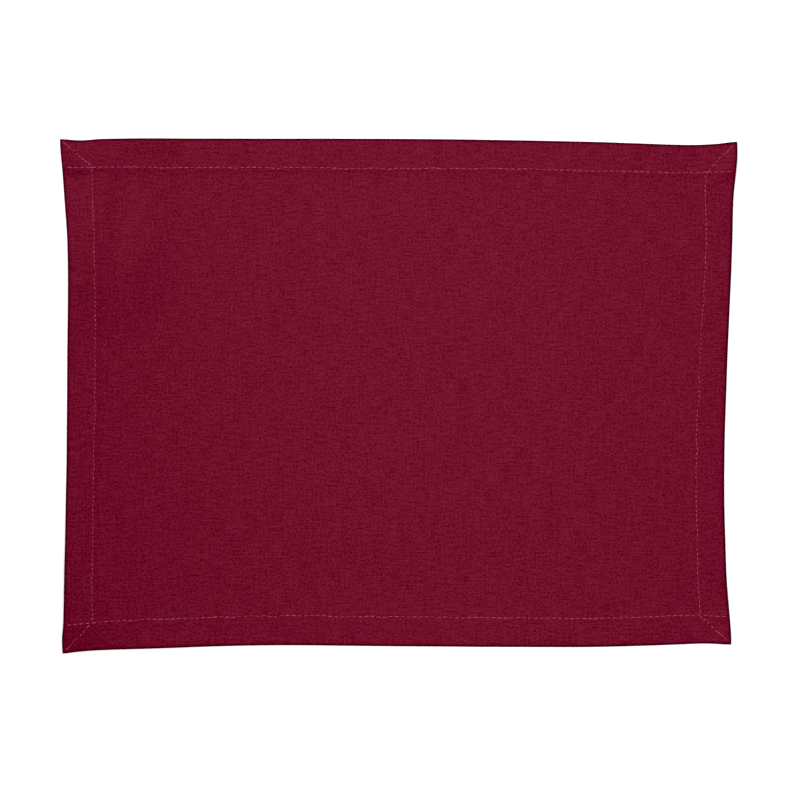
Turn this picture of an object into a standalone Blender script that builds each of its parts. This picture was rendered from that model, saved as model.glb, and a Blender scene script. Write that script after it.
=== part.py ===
"""A plain woven table mat lying flat, with a double hem turned under and mitred corners.

X runs along the mat's long side, Y along its short side, and Z up. The origin is under the middle of the mat, on the
surface that it lies on. Distances are in metres, and those in the tables are in millimetres.
"""

import math
from collections import namedtuple

import bmesh
import bpy
from mathutils import Vector

MM = 0.001

# The mat's overall size, at its furthest points.
MAT_LENGTH = 468.6 * MM
MAT_WIDTH = 356.3 * MM

# The cloth's outer fold is round, on an edge that turns by more than this angle.
RIM_ROUNDING = 0.5 * MM
RIM_SEGMENTS = 2
RIM_ANGLE = math.radians(70)
SHARP_ANGLE = math.radians(40)

# How far the stitches along a mitre draw the cloth in.
MITRE_PINCH = 0.2 * MM

# How many cells the field is divided into, along the mat and across it.
FIELD_COLUMNS = 40
FIELD_ROWS = 30

CLOTH_COLOUR = (0.165, 0.006, 0.024, 1.0)
CLOTH_ROUGHNESS = 0.95
CLOTH_METALLIC = 0.0

# The cross-section from an edge to the field, a row for each line that runs round the mat. A line lies a share of the
# hem's width in from the edge, plus a distance past it. Three layers make the hem, and one makes the field.
Line = namedtuple("Line", "hem_share past_hem top underside")

RIM = Line(0.00, 0.0, 1.3, 0.0)
HEM_MIDDLE = Line(0.45, 0.0, 1.3, 0.0)
BESIDE_STITCHES = Line(0.92, 0.0, 1.3, 0.0)
STITCHES = Line(1.00, 0.0, 1.15, 0.0)
INNER_FOLD = Line(1.00, 1.2, 1.2, 0.0)
PAST_INNER_FOLD = Line(1.00, 1.6, 1.2, 0.2)
SLOPE_MIDDLE = Line(1.00, 3.6, 1.1, 0.1)
SLOPE_FOOT = Line(1.00, 6.0, 1.0, 0.0)

CROSS_SECTION = (
    RIM,
    HEM_MIDDLE,
    BESIDE_STITCHES,
    STITCHES,
    INNER_FOLD,
    PAST_INNER_FOLD,
    SLOPE_MIDDLE,
    SLOPE_FOOT,
)

# Along an edge, from -X to +X or from -Y to +Y: where the station is, how far the edge lies there inside the mat's
# overall size, and how wide the hem is.
Station = namedtuple("Station", "along inset hem")

TOP_EDGE = (
    Station(-234, 0.5, 19.3),
    Station(-220, 1.3, 18.6),
    Station(-205, 0.2, 19.7),
    Station(-138, 0.0, 20.0),
    Station(0, 0.2, 20.5),
    Station(70, 1.0, 19.8),
    Station(139, 2.4, 19.9),
    Station(174, 3.7, 19.5),
    Station(202, 4.4, 19.4),
    Station(220, 3.7, 19.4),
    Station(234, 2.3, 20.1),
)
BOTTOM_EDGE = (
    Station(-233, 0.1, 19.9),
    Station(-222, 1.3, 19.5),
    Station(-207, 2.4, 19.4),
    Station(-172, 3.5, 20.1),
    Station(-138, 4.7, 19.9),
    Station(-85, 5.8, 20.0),
    Station(0, 5.1, 20.2),
    Station(122, 4.5, 19.8),
    Station(157, 5.1, 19.6),
    Station(191, 6.2, 19.7),
    Station(212, 7.0, 19.3),
    Station(230, 6.5, 19.3),
)
LEFT_EDGE = (
    Station(-178, 1.8, 20.3),
    Station(-169, 1.7, 20.5),
    Station(-155, 3.0, 19.4),
    Station(-113, 3.9, 18.4),
    Station(-58, 4.4, 18.7),
    Station(-3, 4.9, 19.1),
    Station(40, 5.1, 19.3),
    Station(80, 5.7, 18.8),
    Station(108, 5.3, 18.5),
    Station(136, 3.2, 19.9),
    Station(155, 1.7, 20.8),
    Station(178, 0.1, 22.1),
)
RIGHT_EDGE = (
    Station(-171, 4.5, 21.0),
    Station(-163, 4.6, 21.0),
    Station(-148, 5.7, 20.3),
    Station(-127, 7.3, 19.9),
    Station(-105, 8.2, 19.4),
    Station(-72, 9.0, 19.2),
    Station(-30, 8.7, 19.2),
    Station(25, 6.9, 18.8),
    Station(80, 4.5, 18.1),
    Station(108, 3.5, 17.9),
    Station(136, 2.8, 19.4),
    Station(155, 1.1, 20.7),
    Station(166, 0.2, 21.5),
    Station(176, 0.1, 21.6),
)

# A soft fold, where the cloth stands off the surface: its middle, half its length and width, its turn from X in
# degrees, how far its crest leans to one side of its middle line (a share of half its width), and its rise. The one
# that has a negative rise is a crease pressed into the fold that it lies on.
Fold = namedtuple("Fold", "x y half_length half_width turn lean rise")

FOLDS = (
    Fold(-198, 107, 56, 76, 0, -0.06, 4.3),
    Fold(-188, 127, 47, 17, 90, 0.30, -2.5),
    Fold(-220, 80, 16, 13, 0, 0.00, 0.6),
    Fold(-240, -112, 76, 28, 90, 0.00, 5.6),
    Fold(-226, -138, 46, 45, -8, -0.33, 3.2),
    Fold(-221, 165, 22, 16, 0, 0.00, 0.9),
    Fold(230, 159, 20, 10, 47, 0.00, 1.0),
    Fold(230, 150, 32, 34, 0, 0.20, 0.7),
    Fold(-172, 178, 38, 15, 0, 0.00, 1.0),
    Fold(167, 176, 14, 14, 0, 0.00, 0.8),
    Fold(-158, -174, 35, 14, 0, 0.00, 1.0),
    Fold(228, -172, 20, 14, -45, 0.00, 0.8),
    Fold(-20, 118, 85, 34, 6, 0.00, 0.4),
    Fold(120, 20, 90, 42, -20, 0.00, 0.5),
    Fold(20, -95, 95, 38, 12, 0.00, 0.4),
)


def remove_scene_objects():
    """Empty the scene, whatever it holds."""
    for thing in list(bpy.data.objects):
        bpy.data.objects.remove(thing, do_unlink=True)


def cloth_material():
    """The dyed cloth, matt all over."""
    material = bpy.data.materials.new("burgundy_cloth")
    material.use_nodes = True
    shader = material.node_tree.nodes["Principled BSDF"]
    shader.inputs["Base Color"].default_value = CLOTH_COLOUR
    shader.inputs["Roughness"].default_value = CLOTH_ROUGHNESS
    shader.inputs["Metallic"].default_value = CLOTH_METALLIC
    return material


def lean_at(stations, column, index):
    """How fast a column changes at a station. It is level at the table's two ends."""
    if index in (0, len(stations) - 1):
        return 0.0
    before, after = stations[index - 1], stations[index + 1]
    change = getattr(after, column) - getattr(before, column)
    return change / (after.along - before.along)


def smooth_value(stations, column, along):
    """A column's value at a place along the edge, on a smooth curve through the stations."""
    place = min(max(along / MM, stations[0].along), stations[-1].along)
    after = next(i for i in range(1, len(stations)) if stations[i].along >= place)
    start, end = stations[after - 1], stations[after]
    span = end.along - start.along
    share = (place - start.along) / span
    step = share * share * (3 - 2 * share)
    lean_out = lean_at(stations, column, after - 1) * span * share * (1 - share) ** 2
    lean_in = lean_at(stations, column, after) * span * share**2 * (share - 1)
    level = getattr(start, column) * (1 - step) + getattr(end, column) * step
    return (level + lean_out + lean_in) * MM


def lines_in_from_edge(hem):
    """How far in from its edge each line of the cross-section lies."""
    return [line.hem_share * hem + line.past_hem * MM for line in CROSS_SECTION]


def grid_lines(size, cells, low_edge, high_edge, along):
    """Every grid line from an edge to the one that faces it, where they cross a place along those edges."""
    low_lines = lines_in_from_edge(smooth_value(low_edge, "hem", along))
    high_lines = lines_in_from_edge(smooth_value(high_edge, "hem", along))
    low = smooth_value(low_edge, "inset", along) - size / 2
    high = size / 2 - smooth_value(high_edge, "inset", along)
    field_start = low + low_lines[-1]
    field_end = high - high_lines[-1]
    cell = (field_end - field_start) / cells
    field = [field_start + cell * i for i in range(1, cells)]
    return [low + step for step in low_lines] + field + [high - step for step in reversed(high_lines)]


def columns_at(y):
    return grid_lines(MAT_LENGTH, FIELD_COLUMNS, LEFT_EDGE, RIGHT_EDGE, y)


def rows_at(x):
    return grid_lines(MAT_WIDTH, FIELD_ROWS, BOTTOM_EDGE, TOP_EDGE, x)


def crossing(column, row):
    """Where a column and a row of the grid cross, seen from above."""
    x = y = 0.0
    for _ in range(4):
        x = columns_at(y)[column]
        y = rows_at(x)[row]
    return x, y


def height_of(fold, x, y):
    """How high one fold lifts the cloth at a place: most on its crest, and nothing from its rim on."""
    turn = math.radians(fold.turn)
    away = Vector((x / MM - fold.x, y / MM - fold.y))
    along = away.dot(Vector((math.cos(turn), math.sin(turn)))) / fold.half_length
    aside = away.dot(Vector((-math.sin(turn), math.cos(turn)))) / fold.half_width
    side_width = 1 - fold.lean if aside > fold.lean else 1 + fold.lean
    aside = (aside - fold.lean) / side_width
    return fold.rise * max(0.0, 1 - along * along - aside * aside) ** 2 * MM


def fold_height(x, y):
    return max(0.0, sum(height_of(fold, x, y) for fold in FOLDS))


def line_number(column, row, columns, rows):
    """How many grid lines in from the nearest edge a crossing lies."""
    return min(column, columns - 1 - column, row, rows - 1 - row)


def on_mitre(column, row, columns, rows):
    """Whether a crossing lies on the diagonal of a corner, from its tip to the stitches."""
    in_x = min(column, columns - 1 - column)
    in_y = min(row, rows - 1 - row)
    return in_x == in_y and in_x <= CROSS_SECTION.index(STITCHES)


def split_along_mitres(sheet, mitre_points):
    """Cut each corner cell that a mitre crosses along the mitre, so that the crease is straight."""
    for face in list(sheet.faces):
        ends = [point for point in face.verts if point in mitre_points]
        if len(face.verts) == 4 and len(ends) == 2 and sheet.edges.get(ends) is None:
            bmesh.utils.face_split(face, ends[0], ends[1])


def shape_cloth(sheet):
    """One grid over the whole mat, pulled up into a sheet of the cross-section's thickness."""
    columns = len(columns_at(0.0))
    rows = len(rows_at(0.0))
    bmesh.ops.create_grid(sheet, x_segments=columns - 1, y_segments=rows - 1, size=1.0)
    numbering = sheet.verts.layers.int.new("crossing")
    for number, point in enumerate(sheet.verts):
        row, column = divmod(number, columns)
        point[numbering] = number
        point.co.x, point.co.y = crossing(column, row)
    pulled = bmesh.ops.extrude_face_region(sheet, geom=sheet.faces[:])["geom"]
    tops = {item for item in pulled if isinstance(item, bmesh.types.BMVert)}
    mitre_points = set()
    for point in sheet.verts:
        row, column = divmod(point[numbering], columns)
        line = CROSS_SECTION[min(line_number(column, row, columns, rows), len(CROSS_SECTION) - 1)]
        height = line.top if point in tops else line.underside
        point.co.z = height * MM + fold_height(point.co.x, point.co.y)
        if point in tops and on_mitre(column, row, columns, rows):
            point.co.z -= MITRE_PINCH
            mitre_points.add(point)
    split_along_mitres(sheet, mitre_points)
    bmesh.ops.recalc_face_normals(sheet, faces=sheet.faces[:])


def add_mat_cloth():
    """The whole mat: one piece of cloth, hem and all."""
    sheet = bmesh.new()
    shape_cloth(sheet)
    mesh = bpy.data.meshes.new("mat_cloth")
    sheet.to_mesh(mesh)
    sheet.free()
    mesh.shade_smooth()
    mesh.set_sharp_from_angle(angle=SHARP_ANGLE)
    mesh.materials.append(cloth_material())
    cloth = bpy.data.objects.new("mat_cloth", mesh)
    bpy.context.scene.collection.objects.link(cloth)
    rim = cloth.modifiers.new("rim", "BEVEL")
    rim.limit_method = "ANGLE"
    rim.angle_limit = RIM_ANGLE
    rim.width = RIM_ROUNDING
    rim.segments = RIM_SEGMENTS
    return cloth


remove_scene_objects()
add_mat_cloth()
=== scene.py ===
import math
import bmesh
import bpy
from mathutils import Matrix, Vector, noise


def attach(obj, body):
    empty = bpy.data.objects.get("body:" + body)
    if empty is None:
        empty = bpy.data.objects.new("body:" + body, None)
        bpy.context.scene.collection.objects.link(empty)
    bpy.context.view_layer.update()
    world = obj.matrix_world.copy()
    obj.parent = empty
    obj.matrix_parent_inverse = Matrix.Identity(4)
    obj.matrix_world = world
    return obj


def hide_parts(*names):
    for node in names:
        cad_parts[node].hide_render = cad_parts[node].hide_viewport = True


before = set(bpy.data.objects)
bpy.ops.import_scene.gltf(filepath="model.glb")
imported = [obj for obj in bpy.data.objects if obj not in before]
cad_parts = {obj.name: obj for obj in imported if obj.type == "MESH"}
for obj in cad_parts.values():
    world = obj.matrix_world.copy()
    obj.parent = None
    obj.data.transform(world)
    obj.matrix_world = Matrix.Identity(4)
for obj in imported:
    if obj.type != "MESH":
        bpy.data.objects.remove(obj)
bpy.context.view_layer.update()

mm = 0.001
print("frame loaded")


# the mat's outline and hem, the same as the solid's

mat = {
    "length": 468.6,  # mm, the box round the whole mat
    "width": 356.3,
    "hem": 20,  # about, as the tables below give its width from place to place
    "fieldColumns": 134,  # cells inside the hems, along and across
    "fieldRows": 98,
}

# along the edge, how far in from the mat's box, hem width, all in mm
topRows = [
    (-234, 0.5, 19.3), (-220, 1.3, 18.6), (-205, 0.2, 19.7), (-138, 0.0, 20.0), (0, 0.2, 20.5),
    (70, 1.0, 19.8), (139, 2.4, 19.9), (174, 3.7, 19.5), (202, 4.4, 19.4), (220, 3.7, 19.4),
    (234, 2.3, 20.1),
]
bottomRows = [
    (-233, 0.1, 19.9), (-222, 1.3, 19.5), (-207, 2.4, 19.4), (-172, 3.5, 20.1), (-138, 4.7, 19.9),
    (-85, 5.8, 20.0), (0, 5.1, 20.2), (122, 4.5, 19.8), (157, 5.1, 19.6), (191, 6.2, 19.7),
    (212, 7.0, 19.3), (230, 6.5, 19.3),
]
leftRows = [
    (-178, 1.8, 20.3), (-169, 1.7, 20.5), (-155, 3.0, 19.4), (-113, 3.9, 18.4), (-58, 4.4, 18.7),
    (-3, 4.9, 19.1), (40, 5.1, 19.3), (80, 5.7, 18.8), (108, 5.3, 18.5), (136, 3.2, 19.9),
    (155, 1.7, 20.8), (178, 0.1, 22.1),
]
rightRows = [
    (-171, 4.5, 21.0), (-163, 4.6, 21.0), (-148, 5.7, 20.3), (-127, 7.3, 19.9), (-105, 8.2, 19.4),
    (-72, 9.0, 19.2), (-30, 8.7, 19.2), (25, 6.9, 18.8), (80, 4.5, 18.1), (108, 3.5, 17.9),
    (136, 2.8, 19.4), (155, 1.1, 20.7), (166, 0.2, 21.5), (176, 0.1, 21.6),
]


def smoothCurve(rows, column):
    # a value for every mm from the first row to the last, smooth through them all and level at both ends
    leans = [0.0] * len(rows)
    for i in range(1, len(rows) - 1):
        leans[i] = (rows[i + 1][column] - rows[i - 1][column]) / (rows[i + 1][0] - rows[i - 1][0])
    curve = []
    for i, (start, end) in enumerate(zip(rows, rows[1:])):
        span = end[0] - start[0]
        for step in range(span):
            t = step / span
            blend = t * t * (3 - 2 * t)
            value = start[column] * (1 - blend) + end[column] * blend
            value += leans[i] * span * t * (1 - t) ** 2 + leans[i + 1] * span * t * t * (t - 1)
            curve.append(value)
    return curve + [rows[-1][column]]


class Side:
    # one side of the mat: its rim and the width of its hem, by the place along it in mm
    def __init__(self, rows, size, outward, runsAlongX):
        self.start = rows[0][0]
        self.insets = smoothCurve(rows, 1)
        self.hems = smoothCurve(rows, 2)
        self.half = size / 2
        self.outward = outward
        self.runsAlongX = runsAlongX

    def at(self, values, along):
        place = min(max(along - self.start, 0), len(values) - 1.001)
        i = int(place)
        return values[i] + (values[i + 1] - values[i]) * (place - i)

    def line(self, along, share, past):
        # where a line beside this rim lies: a share of the hem and some mm past it inside the rim
        inside = self.at(self.insets, along) + share * self.at(self.hems, along) + past
        return self.outward * (self.half - inside)

    def point(self, along, across):
        return (along, across) if self.runsAlongX else (across, along)

    def split(self, x, y):
        return (x, y) if self.runsAlongX else (y, x)

    def depth(self, x, y, share=1.0):
        # how far a place lies inside this side's rim, share 0, or inside its row of stitches, share 1
        along, across = self.split(x, y)
        return (self.line(along, share, 0.0) - across) * self.outward


top = Side(topRows, mat["width"], 1, True)
bottom = Side(bottomRows, mat["width"], -1, True)
left = Side(leftRows, mat["length"], -1, False)
right = Side(rightRows, mat["length"], 1, False)
sides = (bottom, right, top, left)


def meet(level, end, share, past, endShare=None, endPast=None):
    # where a line along the top or bottom meets a line along the left or right, in mm
    endShare = share if endShare is None else endShare
    endPast = past if endPast is None else endPast
    x = y = 0.0
    for _ in range(5):
        x = end.line(y, endShare, endPast)
        y = level.line(x, share, past)
    return x, y


# the cloth: one piece, its hem turned under twice

cloth = {
    "thickness": 0.34,  # mm, and so are the other lengths
    "mitreDip": 0.22,  # the crease where two hems meet
    "mitreShoulder": 0.35,  # share of that beside the crease
    "cornerRise": 0.40,  # the corners have more layers
    "cornerStart": 4,  # where their slope starts, inside the stitches
    "cornerSlope": 3,  # how long it is
    "hemLift": 0.22,  # the field stands off the table beside the thicker hem
    "liftStart": 9,  # where it starts to come down, inside the stitches
    "liftReach": 14.0,
    "puckerHeight": 0.16,
    "puckerLength": 10.0,  # from one to the next, along the stitches
    "puckerWidth": 26.0,  # across them
    "puckerSlant": 0.45,
    "puckerReach": 11.0,
    "puckerSpread": 1.7,  # how many times further they reach on the hem
    "rippleHeight": 0.8,  # the rim waves up and down a little
    "rippleLength": 36.0,
    "rippleReach": 26.0,
    "rippleShare": 0.3,  # more makes more of the rim stand up
    "waveHeight": 0.25,
    "waveLength": 48.0,
    "waveShare": 0.5,  # more makes more of the cloth stand up
}

# from the rim to the field: share of the hem, mm past it, height of the middle of the cloth, and its tone,
# which is painted shade: darkest in the outer fold, and darker under the stitches and just past them
faceLines = [
    (0.00, 0.45, 0.79, 0.37), (0.00, 0.9, 0.86, 0.52), (0.00, 1.4, 0.88, 0.80), (0.00, 2.1, 0.88, 0.96),
    (0.00, 3.2, 0.88, 0.99), (0.25, 0.0, 0.88, 1.00), (0.36, 0.0, 0.88, 1.00), (0.47, 0.0, 0.88, 1.00),
    (0.58, 0.0, 0.88, 1.00), (0.68, 0.0, 0.88, 1.00), (0.78, 0.0, 0.88, 1.00), (0.87, 0.0, 0.88, 1.00),
    (1.00, -1.3, 0.87, 1.00), (1.00, -0.6, 0.85, 1.00), (1.00, 0.0, 0.82, 0.93), (1.00, 0.6, 0.84, 0.98),
    (1.00, 1.2, 0.83, 0.97), (1.00, 1.8, 0.77, 0.96), (1.00, 2.4, 0.70, 0.96), (1.00, 3.1, 0.63, 0.97),
    (1.00, 3.9, 0.56, 0.98), (1.00, 4.7, 0.51, 0.99), (1.00, 5.7, 0.465, 1.00), (1.00, 7.0, 0.43, 1.00),
    (1.00, 9.0, 0.41, 1.00),
]
# on round the outer fold, under the hem, round the inner fold and back between the layers; the tone is
# painted shade, darkest round the two folds
underLines = [
    (0.00, 0.15, 0.70, 0.35), (0.00, -0.03, 0.56, 0.35), (0.00, -0.04, 0.42, 0.35),
    (0.00, 0.11, 0.29, 0.40), (0.00, 0.45, 0.20, 0.60), (0.00, 1.4, 0.17, 0.82), (0.00, 4.0, 0.17, 1.00),
    (0.45, 0.0, 0.17, 1.00), (0.80, 0.0, 0.17, 1.00), (1.00, -1.2, 0.18, 1.00), (1.00, 0.0, 0.24, 0.90),
    (1.00, 0.7, 0.18, 1.00), (1.00, 1.1, 0.22, 0.80), (1.00, 1.25, 0.35, 0.60), (1.00, 1.1, 0.47, 0.60),
    (1.00, 0.7, 0.52, 1.00), (1.00, 0.0, 0.52, 1.00), (1.00, -1.2, 0.52, 1.00), (1.00, -4.0, 0.52, 1.00),
    (1.00, -8.0, 0.52, 1.00),
]
stitchLine = 14  # the row of faceLines under the stitches, counted from 0
mitreLines = 3  # the mitres' creases reach their depth on this line
calmLines = 6  # and puckers and waves their height on this one

# where the cloth stands off the table: middle, half length and half width, turn of its length from X in
# degrees, how far its crest leans to one side, and its rise, which is under 0 for a crease
folds = [
    (-198, 107, 56, 76, 0, -0.06, 4.3),
    (-188, 127, 47, 17, 90, 0.30, -2.5),
    (-220, 80, 16, 13, 0, 0.0, 0.6),
    (-221, 142, 13, 14, 0, 0.7, -0.7),
    (-195, 89, 32, 7, 90, 0.3, -0.5),
    (-222, 83, 13, 6, 0, 0.3, -0.6),
    (-192, 18, 20, 5, -38, 0.0, 0.3),
    (-240, -112, 76, 28, 90, 0.0, 5.6),
    (-226, -138, 46, 45, -8, -0.33, 3.2),
    (-221, 165, 22, 16, 0, 0.0, 0.9),
    (230, 159, 20, 10, 47, 0.0, 1.0),
    (230, 150, 32, 34, 0, 0.2, 0.7),
    (222, 140, 11, 10, 0, 0.6, -0.6),
    (-172, 178, 38, 15, 0, 0.0, 1.0),
    (167, 176, 14, 14, 0, 0.0, 0.8),
    (-158, -174, 35, 14, 0, 0.0, 1.0),
    (228, -172, 20, 14, -45, 0.0, 0.8),
    (-20, 118, 85, 34, 6, 0.0, 0.4),
    (120, 20, 90, 42, -20, 0.0, 0.5),
    (20, -95, 95, 38, 12, 0.0, 0.4),
]
foldTurns = [(math.cos(math.radians(fold[4])), math.sin(math.radians(fold[4]))) for fold in folds]


def foldHeight(x, y):
    height = 0.0
    for (foldX, foldY, halfLength, halfWidth, _, lean, rise), (cosine, sine) in zip(folds, foldTurns):
        along = ((x - foldX) * cosine + (y - foldY) * sine) / halfLength
        aside = ((y - foldY) * cosine - (x - foldX) * sine) / halfWidth
        aside = (aside - lean) / (1 - lean if aside > lean else 1 + lean)
        inside = 1 - along * along - aside * aside
        if inside > 0:
            height += rise * inside * inside
    return max(height, 0.0)


def rimRipples(x, y):
    height = 0.0
    for number, side in enumerate(sides):
        along = side.split(x, y)[0]
        fade = max(0.0, 1 - side.depth(x, y, 0.0) / cloth["rippleReach"])
        place = Vector((along / cloth["rippleLength"], 0.0, 3.7 + 10 * number))
        ripple = max(0.0, cloth["rippleShare"] + noise.noise(place))
        height += cloth["rippleHeight"] * fade * fade * ripple
    return height


def puckers(x, y):
    # small slanting ripples on both sides of each row of stitches
    height = 0.0
    for number, side in enumerate(sides):
        along = side.split(x, y)[0]
        away = -side.depth(x, y)  # more than 0 on the hem
        fade = 1 - abs(away) / (cloth["puckerReach"] * (cloth["puckerSpread"] if away > 0 else 1.0))
        if fade > 0:
            slanted = along + cloth["puckerSlant"] * away
            place = Vector((slanted / cloth["puckerLength"], away / cloth["puckerWidth"], 20.5 * number))
            ripple = noise.noise(place) + 0.5 * noise.noise(place * 2.1 + Vector((7, 3, 1)))
            height += cloth["puckerHeight"] * fade * ripple
    return height


def waves(x, y):
    # the cloth never lies quite flat
    place = Vector((x, y, 260.0)) / cloth["waveLength"]
    wave = cloth["waveShare"] + noise.noise(place) + 0.35 * noise.noise(place * 2.3)
    return cloth["waveHeight"] * max(0.0, wave)


def cornerLayers(x, y):
    # the corner squares lie a little higher, down a short slope inside the lines of stitches
    height = cloth["cornerRise"]
    for side in (left if x < 0 else right, bottom if y < 0 else top):
        slope = (cloth["cornerStart"] - side.depth(x, y)) / cloth["cornerSlope"]
        height *= min(max(slope, 0.0), 1.0)
    return height


def fieldDrop(x, y):
    # from the hem's inner edge the field comes down to the table bit by bit
    inside = min(side.depth(x, y) for side in sides)
    return cloth["hemLift"] * (1 - math.exp(min(0.0, cloth["liftStart"] - inside) / cloth["liftReach"]))


def lineAt(number, count, nearSide, farSide, along, cells):
    # where one of the grid's lines lies: beside either rim as faceLines says, and evenly across the field
    if number < len(faceLines):
        return nearSide.line(along, *faceLines[number][:2])
    if count - 1 - number < len(faceLines):
        return farSide.line(along, *faceLines[count - 1 - number][:2])
    start, end = nearSide.line(along, *faceLines[-1][:2]), farSide.line(along, *faceLines[-1][:2])
    return start + (end - start) * (number - len(faceLines) + 1) / cells


def makeFace(sheet, cut, tone):
    # the side that shows, one grid over hems and field
    columns = 2 * len(faceLines) + mat["fieldColumns"] - 1
    rows = 2 * len(faceLines) + mat["fieldRows"] - 1
    grid = []
    for j in range(rows):
        line = []
        for i in range(columns):
            x = y = 0.0
            for _ in range(4):
                x = lineAt(i, columns, left, right, y, mat["fieldColumns"])
                y = lineAt(j, rows, bottom, top, x, mat["fieldRows"])
            inX, inY = min(i, columns - 1 - i), min(j, rows - 1 - j)
            near = min(inX, inY, len(faceLines) - 1)
            # painted shade: the tone from faceLines darkens the colour in the outer fold and by the
            # stitches
            height, paintedShade = faceLines[near][2:]
            if inY == stitchLine:
                # the rows along the top and bottom are sewn on over the other hems, so they keep that row's
                # lower height and darker painted shade
                height, paintedShade = min(height, faceLines[inY][2]), min(paintedShade, faceLines[inY][3])
            height += foldHeight(x, y) + rimRipples(x, y) + cornerLayers(x, y) - fieldDrop(x, y)
            height += (puckers(x, y) + waves(x, y)) * min(1.0, near / calmLines)
            if abs(inX - inY) <= 1 and near <= stitchLine:
                dip = cloth["mitreDip"] * (1.0 if inX == inY else cloth["mitreShoulder"])
                height -= dip * min(1.0, near / mitreLines)
            point = sheet.verts.new((x * mm, y * mm, height * mm))
            point[tone] = paintedShade
            line.append(point)
        grid.append(line)
    for lower, upper in zip(grid, grid[1:]):
        for i in range(columns - 1):
            face = sheet.faces.new((lower[i], lower[i + 1], upper[i + 1], upper[i]))
            for loop in face.loops:
                loop[cut].uv = loop.vert.co.xy
    return grid


def foldUnder(sheet, cut, tone, grid):
    # ring after ring on from the grid's border: round the outer fold, under the hem and between the layers
    borders = {
        bottom: grid[0],
        right: [line[-1] for line in grid],
        top: grid[-1][::-1],
        left: [line[0] for line in grid][::-1],
    }
    ends = {bottom: (left, right), right: (bottom, top), top: (right, left), left: (top, bottom)}
    shares = {}
    for side, border in borders.items():
        places = [side.split(*point.co.xy)[0] for point in border]
        shares[side] = [(place - places[0]) / (places[-1] - places[0]) for place in places]
    # how far past the border each point lies in the flat cloth
    cutOut = {point: 0.0 for line in borders.values() for point in line}
    share, past, height, _ = faceLines[0]
    used = 0.0
    for newShare, newPast, newHeight, newPaintedShade in underLines:
        used += math.hypot((newShare - share) * mat["hem"] + newPast - past, newHeight - height)
        share, past, height = newShare, newPast, newHeight

        def newPoint(x, y):
            point = sheet.verts.new((x * mm, y * mm, (height + foldHeight(x, y) + rimRipples(x, y)) * mm))
            # painted shade round the folds, from underLines' tone
            point[tone] = newPaintedShade
            cutOut[point] = used
            return point

        corners = {}
        for level in (bottom, top):
            for end in (left, right):
                corners[level, end] = corners[end, level] = newPoint(*meet(level, end, share, past))
        for side in sides:
            first, last = corners[side, ends[side][0]], corners[side, ends[side][1]]
            ring = [first]
            for portion in shares[side][1:-1]:
                along = side.split(*first.co.lerp(last.co, portion).xy)[0] / mm
                ring.append(newPoint(*side.point(along, side.line(along, share, past))))
            ring.append(last)
            outer = borders[side]
            for k in range(len(ring) - 1):
                face = sheet.faces.new((outer[k + 1], outer[k], ring[k], ring[k + 1]))
                for loop in face.loops:
                    along = side.split(*loop.vert.co.xy)[0]
                    across = side.line(along / mm, *faceLines[0][:2]) + side.outward * cutOut[loop.vert]
                    loop[cut].uv = side.point(along, across * mm)
            borders[side] = ring


def makeCloth():
    sheet = bmesh.new()
    cut = sheet.loops.layers.uv.new("cutCloth")  # in metres, as the cloth was before it was folded
    # painted shade: a darker tone along the folds and by the stitches, multiplied into the cloth's colour
    tone = sheet.verts.layers.float.new("foldTone")
    grid = makeFace(sheet, cut, tone)
    foldUnder(sheet, cut, tone, grid)
    mesh = bpy.data.meshes.new("matCloth")
    sheet.to_mesh(mesh)
    sheet.free()
    piece = bpy.data.objects.new("matCloth", mesh)
    bpy.context.collection.objects.link(piece)
    return piece


def selectOnly(*pieces):
    bpy.ops.object.select_all(action="DESELECT")
    for piece in pieces:
        piece.select_set(True)
    bpy.context.view_layer.objects.active = pieces[0]


matCloth = makeCloth()
selectOnly(matCloth)
thickness = matCloth.modifiers.new("thickness", "SOLIDIFY")
thickness.thickness = cloth["thickness"] * mm
thickness.offset = 0
bpy.ops.object.modifier_apply(modifier="thickness")
bpy.ops.object.shade_smooth()
print("cloth made,", len(matCloth.data.polygons), "faces")


# the stitches

thread = {
    "thickness": 0.52,  # mm, and so are the other lengths
    "length": 2.8,  # before each stitch is stretched to its own
    "sides": 6,
    "cuts": 5,
    "arch": 66,  # degrees that a stitch bends over from hole to hole
    "proud": 0.02,  # how far its middle stands off the cloth
    "mitreProud": 0.14,  # the same for the mitres, whose stitches lie in a crease
    "mitreGirth": 1.3,  # and are thicker
    "sunk": 0.18,  # how deep its middle lies in the cloth, below
    "sway": 0.8,  # how far a stitch's ends may stray to either side of the row
    "swayStep": 0.63,  # less makes neighbours stray more alike
    "swayLength": 0.4,  # more makes a stitch's two ends stray less alike
}
# from one stitch to the next and the length of one, in mm
seams = {
    "stitchesTop": {"pitch": 4.26, "stitch": 3.7},
    "stitchesBottom": {"pitch": 4.19, "stitch": 3.6},
    "stitchesLeft": {"pitch": 3.13, "stitch": 2.4},
    "stitchesRight": {"pitch": 3.31, "stitch": 2.6},
}
# where each stitch along a mitre starts and ends, in mm from the tip
mitres = {
    "stitchesTopLeft": [
        (2.4, 11.6), (11.7, 13.4), (14.8, 16.6), (17.4, 19.4), (19.8, 22.3), (22.5, 24.9), (25.2, 28.0),
    ],
    "stitchesTopRight": [
        (3.3, 6.7), (7.5, 10.7), (11.3, 13.6), (14.9, 17.6), (18.5, 20.5), (21.9, 24.6), (25.3, 28.1),
        (28.4, 31.0),
    ],
    "stitchesBottomLeft": [
        (3.3, 8.6), (8.6, 12.4), (13.4, 15.7), (17.2, 19.1), (20.3, 22.1), (24.0, 27.5),
    ],
    "stitchesBottomRight": [
        (3.2, 12.6), (12.2, 14.6), (16.0, 18.6), (20.1, 22.4), (23.4, 26.0), (26.7, 29.1),
    ],
}
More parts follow.
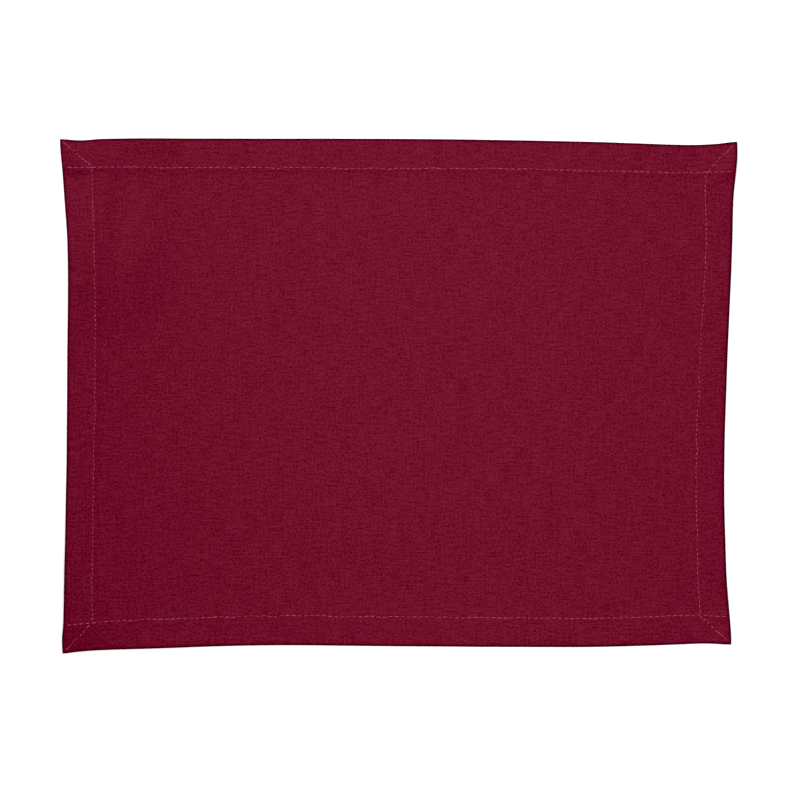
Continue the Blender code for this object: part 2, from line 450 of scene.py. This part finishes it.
# stitches sewn back over a row's end: where each starts and ends, in mm
backTacks = [
    (-213.6, 157.9, -210.6, 157.8), (-189.0, 159.1, -185.4, 159.0), (-184.6, 159.2, -181.4, 158.9),
    (212.6, 155.6, 214.2, 153.4), (214.6, 156.2, 216.6, 154.2),
]


def makeStitch():
    # one stitch, made standing and bent over, then laid along X with its middle up
    bpy.ops.object.select_all(action="DESELECT")
    bpy.ops.mesh.primitive_cylinder_add(
        vertices=thread["sides"], radius=thread["thickness"] / 2 * mm, depth=thread["length"] * mm,
    )
    stitch = bpy.context.active_object
    stitch.name = "stitch"
    bpy.ops.object.mode_set(mode="EDIT")
    for i in range(1, thread["cuts"] + 1):
        place = (i / (thread["cuts"] + 1) - 0.5) * thread["length"] * mm
        bpy.ops.mesh.select_all(action="SELECT")
        bpy.ops.mesh.bisect(plane_co=(0, 0, place), plane_no=(0, 0, 1))
    bpy.ops.object.mode_set(mode="OBJECT")
    arch = stitch.modifiers.new("arch", "SIMPLE_DEFORM")
    arch.deform_method = "BEND"
    arch.deform_axis = "Y"
    arch.angle = math.radians(thread["arch"])
    bpy.ops.object.modifier_apply(modifier="arch")
    stitch.rotation_euler.y = math.radians(90)
    bpy.ops.object.transform_apply(rotation=True)
    bpy.ops.object.shade_smooth()
    return stitch


stitch = makeStitch()


def seamLine(name):
    # a row's course, in mm: the rows along the top and bottom run from rim to rim, the others between them
    if name in ("stitchesTop", "stitchesBottom"):
        side = top if name == "stitchesTop" else bottom
        start, end = (meet(side, other, 1.0, 0.0, 0.0, 1.0)[0] for other in (left, right))
    else:
        side = left if name == "stitchesLeft" else right
        start, end = (meet(other, side, 1.0, 0.0)[1] for other in (bottom, top))
    count = round((end - start) / 3)  # a place for every 3 mm or so
    places = [start + (end - start) * i / count for i in range(count + 1)]
    return [Vector(side.point(along, side.line(along, 1.0, 0.0))) for along in places]


def evenStitches(line, pitch, length):
    # the start and end of each stitch of a row, with what is left over shared out at the row's two ends
    whole = sum((end - start).length for start, end in zip(line, line[1:]))
    count = int(whole / pitch)
    wanted = (whole - count * pitch) / 2 + pitch / 2
    stitches = []
    walked = 0.0
    for start, end in zip(line, line[1:]):
        step = end - start
        while wanted <= walked + step.length and len(stitches) < count:
            middle = start + step * ((wanted - walked) / step.length)
            half = step.normalized() * length / 2
            stitches.append((middle - half, middle + half))
            wanted += pitch
        walked += step.length
    return stitches


def sew(name, stitches, girth=1.0, proud=thread["proud"]):
    # copies of the stitch laid on the cloth's face and, more deeply, on its underside
    clear = 30 * mm  # further from the table than any fold
    copies = []
    for number, (start, end) in enumerate(stitches):
        aside = Vector((start.y - end.y, end.x - start.x)).normalized() * thread["sway"]
        sway = number * thread["swayStep"]
        start = start + aside * noise.noise(Vector((sway, 0.3, girth)))
        end = end + aside * noise.noise(Vector((sway + thread["swayLength"], 0.3, girth)))
        middle = (start + end) / 2
        size = Matrix.Diagonal(((end - start).length / thread["length"], girth, girth, 1))
        for above in (True, False):
            origin = Vector((middle.x * mm, middle.y * mm, clear if above else -clear))
            found, place, normal, _ = matCloth.ray_cast(origin, Vector((0, 0, -1 if above else 1)))
            if not found:
                continue
            lean = Vector((*(end - start).normalized(), 0))
            lean = (lean - normal * lean.dot(normal)).normalized()
            facing = Matrix((lean, normal.cross(lean), normal)).transposed().to_4x4()
            rise = Matrix.Translation((0, 0, (proud if above else -thread["sunk"] * girth) * mm))
            copy = bpy.data.objects.new(name, stitch.data.copy())
            copy.data.transform(Matrix.Translation(place) @ facing @ rise @ size)
            bpy.context.collection.objects.link(copy)
            copies.append(copy)
    selectOnly(*copies)
    bpy.ops.object.join()
    copies[0].name = name
    return copies[0]


def mitreStitches(name, spans):
    level = top if "Top" in name else bottom
    end = left if "Left" in name else right
    tip, inner = Vector(meet(level, end, 0.0, 0.0)), Vector(meet(level, end, 1.0, 0.0))
    course = (inner - tip).normalized()
    return [(tip + course * start, tip + course * stop) for start, stop in spans]


seamRows = []
for name, seam in seams.items():
    seamRows.append(sew(name, evenStitches(seamLine(name), seam["pitch"], seam["stitch"])))
for name, spans in mitres.items():
    seamRows.append(sew(name, mitreStitches(name, spans), thread["mitreGirth"], thread["mitreProud"]))
seamRows.append(sew("backTacks", [(Vector(row[:2]), Vector(row[2:])) for row in backTacks]))
bpy.data.objects.remove(stitch, do_unlink=True)
print("stitches sewn,", sum(len(row.data.polygons) for row in seamRows), "faces")


# materials

class Wire:
    # a node's output; sums with it add Math nodes
    def __init__(self, shader, socket):
        self.shader = shader
        self.socket = socket

    def math(self, operation, first, second=None):
        values = {0: first} if second is None else {0: first, 1: second}
        return self.shader.node("ShaderNodeMath", {"operation": operation}, values)

    def __add__(self, other):
        return self.math("ADD", self, other)

    __radd__ = __add__

    def __mul__(self, other):
        return self.math("MULTIPLY", self, other)

    __rmul__ = __mul__

    def __sub__(self, other):
        return self.math("SUBTRACT", self, other)

    def __rsub__(self, other):
        return self.math("SUBTRACT", other, self)

    def __truediv__(self, other):
        return self.math("DIVIDE", self, other)

    def sine(self):
        return self.math("SINE", self)

    def absolute(self):
        return self.math("ABSOLUTE", self)


class Shader:
    def __init__(self, name):
        self.material = bpy.data.materials.new(name)
        self.material.use_nodes = True
        self.tree = self.material.node_tree
        self.tree.nodes.clear()

    def node(self, kind, settings=None, values=None, output=0):
        # a node of some kind: its settings, the values or wires of its sockets, and which output is wanted
        made = self.tree.nodes.new(kind)
        for name, setting in (settings or {}).items():
            if name == "stops":
                for stop in setting[2:]:
                    made.color_ramp.elements.new(stop[0])
                for element, (place, colour) in zip(made.color_ramp.elements, setting):
                    element.position, element.color = place, colour
            else:
                setattr(made, name, setting)
        for name, value in (values or {}).items():
            if isinstance(value, Wire):
                self.tree.links.new(value.socket, made.inputs[name])
            else:
                made.inputs[name].default_value = value
        return Wire(self, made.outputs[output]) if made.outputs else made


clothLook = {
    "tones": [  # thread colours from the darkest to the lightest
        (0.0, (0.113, 0.0091, 0.0170, 1)),
        (0.5, (0.144, 0.0135, 0.0281, 1)),
        (1.0, (0.177, 0.0184, 0.0404, 1)),
    ],
    # what makes threads lighter and darker: its size along X and along Y in mm, detail, roughness, strength
    "unevenness": [
        (10.0, 1.2, 0.0, 0.5, 0.34),  # weft threads
        (1.0, 20.0, 0.0, 0.5, 0.20),  # warp threads
        (5.0, 60.0, 1.0, 0.9, 0.05),  # bands of warp
        (1.4, 1.4, 2.0, 0.95, 1.78),  # lint
        (30.0, 22.0, 1.0, 0.5, 0.035),  # dye
    ],
    "contrast": 2.6,
    "threadPitch": 0.50,  # mm from one thread to the next
    "weaveDepth": 0.08,
    "crossing": 0.3,  # more makes the change from warp to weft softer
    "gapShade": 0.8,  # painted shade between the threads, how bright it leaves them
    "crownShade": 0.3,  # and the painted light their crowns add to it
    "crownRelief": 0.6,  # how much of the relief is the weave's
    "toneRelief": 0.4,  # and how much the uneven threads'
    "sheen": (0.95, 0.10, 0.28, 1),
}


def clothMaterial():
    shader = Shader("burgundyCloth")
    node = shader.node
    place = node("ShaderNodeUVMap", {"uv_map": "cutCloth"})
    x = node("ShaderNodeSeparateXYZ", {}, {0: place}, "X") / mm
    y = node("ShaderNodeSeparateXYZ", {}, {0: place}, "Y") / mm
    tone = 0.5
    for number, (sizeX, sizeY, detail, roughness, strength) in enumerate(clothLook["unevenness"]):
        spot = node("ShaderNodeCombineXYZ", {}, {0: x / sizeX, 1: y / sizeY, 2: 3.0 + 6 * number})
        values = {"Vector": spot, "Scale": 1.0, "Detail": detail, "Roughness": roughness}
        tone = (node("ShaderNodeTexNoise", {}, values) - 0.5) * (strength * clothLook["contrast"]) + tone
    tone = node("ShaderNodeClamp", {}, {0: tone})

    # plain weave: the warp lies on top where the two waves have the same sign, and else the weft
    waveX = (x * (math.pi / clothLook["threadPitch"])).sine()
    waveY = (y * (math.pi / clothLook["threadPitch"])).sine()
    crossing = {0: waveX * waveY, 1: -clothLook["crossing"], 2: clothLook["crossing"]}
    warpOver = node("ShaderNodeMapRange", {"interpolation_type": "SMOOTHSTEP"}, crossing)
    weave = waveX.absolute() * warpOver + waveY.absolute() * (1 - warpOver)
    colour = node("ShaderNodeValToRGB", {"stops": clothLook["tones"]}, {0: tone})
    # painted shade: the folds' and stitches' darker tone from the mesh
    foldTone = node("ShaderNodeAttribute", {"attribute_name": "foldTone"}, {}, "Fac")
    # painted shade and light of the weave: darker between the threads, lighter on their crowns
    paintedShade = (weave * clothLook["crownShade"] + clothLook["gapShade"]) * foldTone
    colour = node("ShaderNodeVectorMath", {"operation": "SCALE"}, {0: colour, "Scale": paintedShade})
    relief = weave * clothLook["crownRelief"] + tone * clothLook["toneRelief"]
    bump = node("ShaderNodeBump", {}, {
        "Strength": 0.6, "Distance": clothLook["weaveDepth"] * mm, "Height": relief,
    })
    surface = node("ShaderNodeBsdfPrincipled", {}, {
        "Base Color": colour, "Roughness": 0.95, "Specular IOR Level": 0.03, "Normal": bump,
        "Sheen Weight": 0.10, "Sheen Roughness": 0.6, "Sheen Tint": clothLook["sheen"],
    })
    node("ShaderNodeOutputMaterial", {}, {"Surface": surface})
    return shader.material


threadLook = {
    "dark": (0.26, 0.032, 0.069, 1),
    "light": (0.48, 0.078, 0.148, 1),
    "patch": 6,  # mm, about, from a darker to a lighter place
    "patchContrast": 3,
    "twists": 7,  # from end to end of a stitch
    "twistDepth": 0.06,
}


def threadMaterial():
    shader = Shader("sewingThread")
    node = shader.node
    place = node("ShaderNodeTexCoord", {}, {}, "Object")
    patches = {"Vector": place, "Scale": 1 / (threadLook["patch"] * mm), "Detail": 2.0}
    tone = (node("ShaderNodeTexNoise", {}, patches) - 0.5) * threadLook["patchContrast"] + 0.5
    tone = node("ShaderNodeClamp", {}, {0: tone})
    colours = {0: tone, 6: threadLook["dark"], 7: threadLook["light"]}
    colour = node("ShaderNodeMix", {"data_type": "RGBA"}, colours, 2)
    wrap = node("ShaderNodeUVMap", {"uv_map": "UVMap"})
    around = node("ShaderNodeSeparateXYZ", {}, {0: wrap}, "X")
    along = node("ShaderNodeSeparateXYZ", {}, {0: wrap}, "Y")
    twist = ((around * 2 + along * threadLook["twists"]) * (2 * math.pi)).sine()
    bump = node("ShaderNodeBump", {}, {
        "Strength": 0.5, "Distance": threadLook["twistDepth"] * mm, "Height": twist,
    })
    surface = node("ShaderNodeBsdfPrincipled", {}, {
        "Base Color": colour, "Roughness": 0.6, "Specular IOR Level": 0.15, "Normal": bump,
    })
    node("ShaderNodeOutputMaterial", {}, {"Surface": surface})
    return shader.material


matCloth.data.materials.clear()
matCloth.data.materials.append(clothMaterial())
threadFinish = threadMaterial()
for row in seamRows:
    row.data.materials.clear()
    row.data.materials.append(threadFinish)
print("materials made")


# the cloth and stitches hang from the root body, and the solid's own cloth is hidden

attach(matCloth, "root")
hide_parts("mat_cloth")
for row in seamRows:
    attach(row, "root")


# table, lights and camera

studio = {
    "floor": (0.95, 0.95, 0.95, 1),
    "floorGlow": 0.4,
    "floorSize": 8,
    "floorHeight": -0.0001,  # just under the mat
    "world": 0.106,
    "keyPlace": (-0.844, 1.357, 0.60),
    "keySize": (1.2, 1.2),
    "keyPower": 29.4,
    "overheadPlace": (0.090, -0.034, 0.585),
    "overheadSize": (0.59, 1.31),
    "overheadPower": 5.46,
    "blackLevel": 0.012,  # the picture's darkest tones are cut off a little
    "lens": 100,
    "sensorWidth": 36,
    "cameraHeight": 1.539,
    "aim": (0.0009, -0.0027),
}

bpy.ops.object.select_all(action="DESELECT")
bpy.ops.mesh.primitive_plane_add(size=studio["floorSize"], location=(0, 0, studio["floorHeight"]))
floor = bpy.context.active_object
floor.name = "floor"
paleFloor = Shader("paleFloor")
paleSurface = paleFloor.node("ShaderNodeBsdfPrincipled", {}, {
    "Base Color": studio["floor"], "Roughness": 0.9, "Specular IOR Level": 0.0,
    "Emission Color": (1, 1, 1, 1), "Emission Strength": studio["floorGlow"],
})
paleFloor.node("ShaderNodeOutputMaterial", {}, {"Surface": paleSurface})
floor.data.materials.append(paleFloor.material)


def softbox(name, aim):
    place = studio[name + "Place"]
    bpy.ops.object.light_add(type="AREA", location=place)
    light = bpy.context.active_object
    light.name = name + "Softbox"
    light.data.shape = "RECTANGLE"
    light.data.size, light.data.size_y = studio[name + "Size"]
    light.data.energy = studio[name + "Power"]
    light.rotation_euler = (Vector(aim) - Vector(place)).to_track_quat("-Z", "Y").to_euler()
    light.visible_camera = False


softbox("key", (0, 0, 0))
softbox("overhead", (*studio["overheadPlace"][:2], 0))

world = bpy.data.worlds.new("studio")
world.use_nodes = True
surroundings = world.node_tree.nodes["Background"].inputs
surroundings["Color"].default_value = (1, 1, 1, 1)
surroundings["Strength"].default_value = studio["world"]
bpy.context.scene.world = world

bpy.ops.object.camera_add(location=(*studio["aim"], studio["cameraHeight"]), rotation=(0, 0, 0))
camera = bpy.context.active_object
camera.data.lens = studio["lens"]
camera.data.sensor_width = studio["sensorWidth"]
bpy.context.scene.camera = camera
picture = bpy.context.scene.view_settings
picture.view_transform = "Standard"
picture.use_curve_mapping = True
picture.curve_mapping.black_level = (studio["blackLevel"],) * 3
picture.curve_mapping.update()
print("studio ready")
